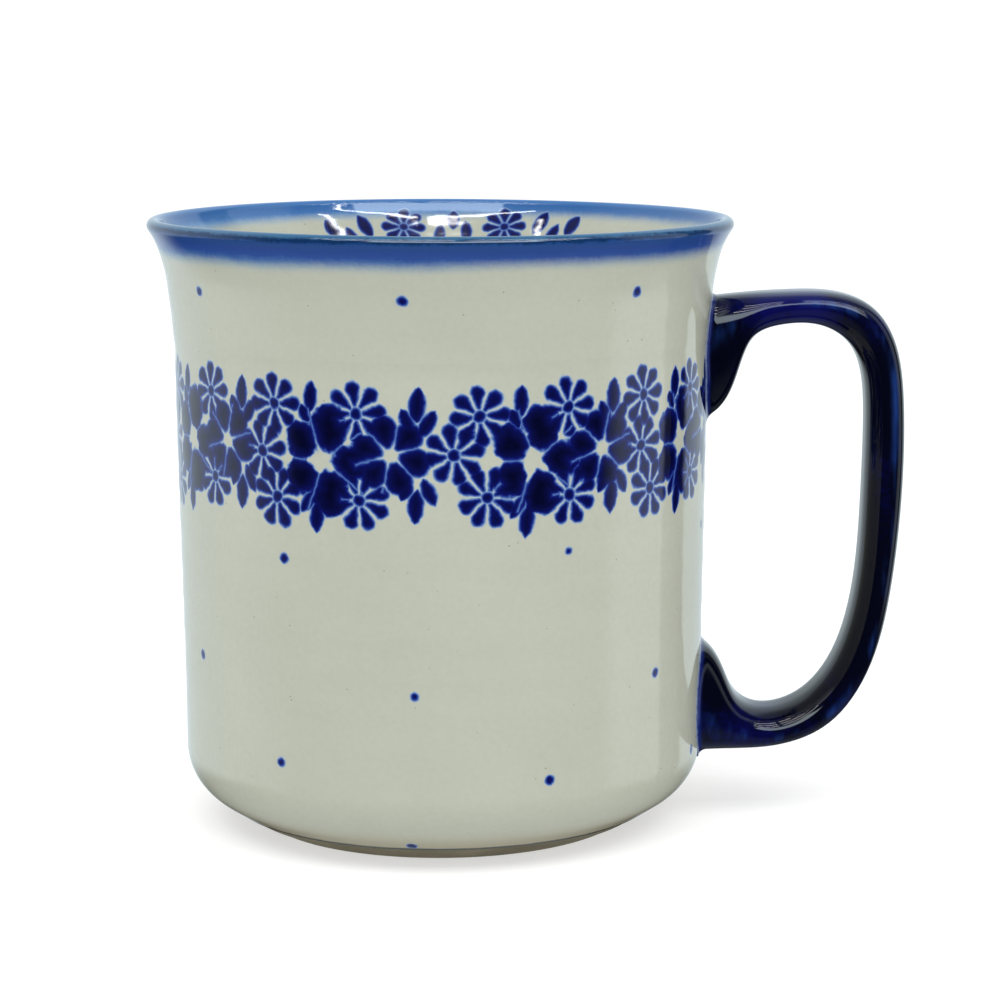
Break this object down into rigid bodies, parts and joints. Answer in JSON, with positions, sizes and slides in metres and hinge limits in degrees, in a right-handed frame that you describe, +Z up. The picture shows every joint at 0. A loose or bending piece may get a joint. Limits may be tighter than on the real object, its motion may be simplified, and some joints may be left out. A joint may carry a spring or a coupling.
{
  "type": "stoneware mug",
  "caption": "Straight-sided glazed stoneware mug with a flared lip, a foot ring and a tall strap handle, banded with blue underglaze flowers.",
  "frame": {"origin": "the mug's axis at the plane of the foot ring, where it stands on a table", "axes": "+Z up along the mug's axis, +X from the axis out through the handle, +Y across the handle"},
  "size_m": [0.1246, 0.096, 0.1],
  "materials": {
    "bare_clay": "matte fired clay",
    "slip": "matte fired slip",
    "cream_glaze": "gloss, transparent over grey-cream clay and blue underglaze decoration",
    "cobalt_glaze": "gloss, deep cobalt blue"
  },
  "bodies": {
    "root": {"cup_body": "bare_clay", "handle": "bare_clay", "upper_slip_joint": "slip", "lower_slip_joint": "slip", "outer_glaze": "cream_glaze", "inner_glaze": "cream_glaze", "base_glaze": "cream_glaze", "handle_glaze": "cobalt_glaze"}
  },
  "joints": []
}
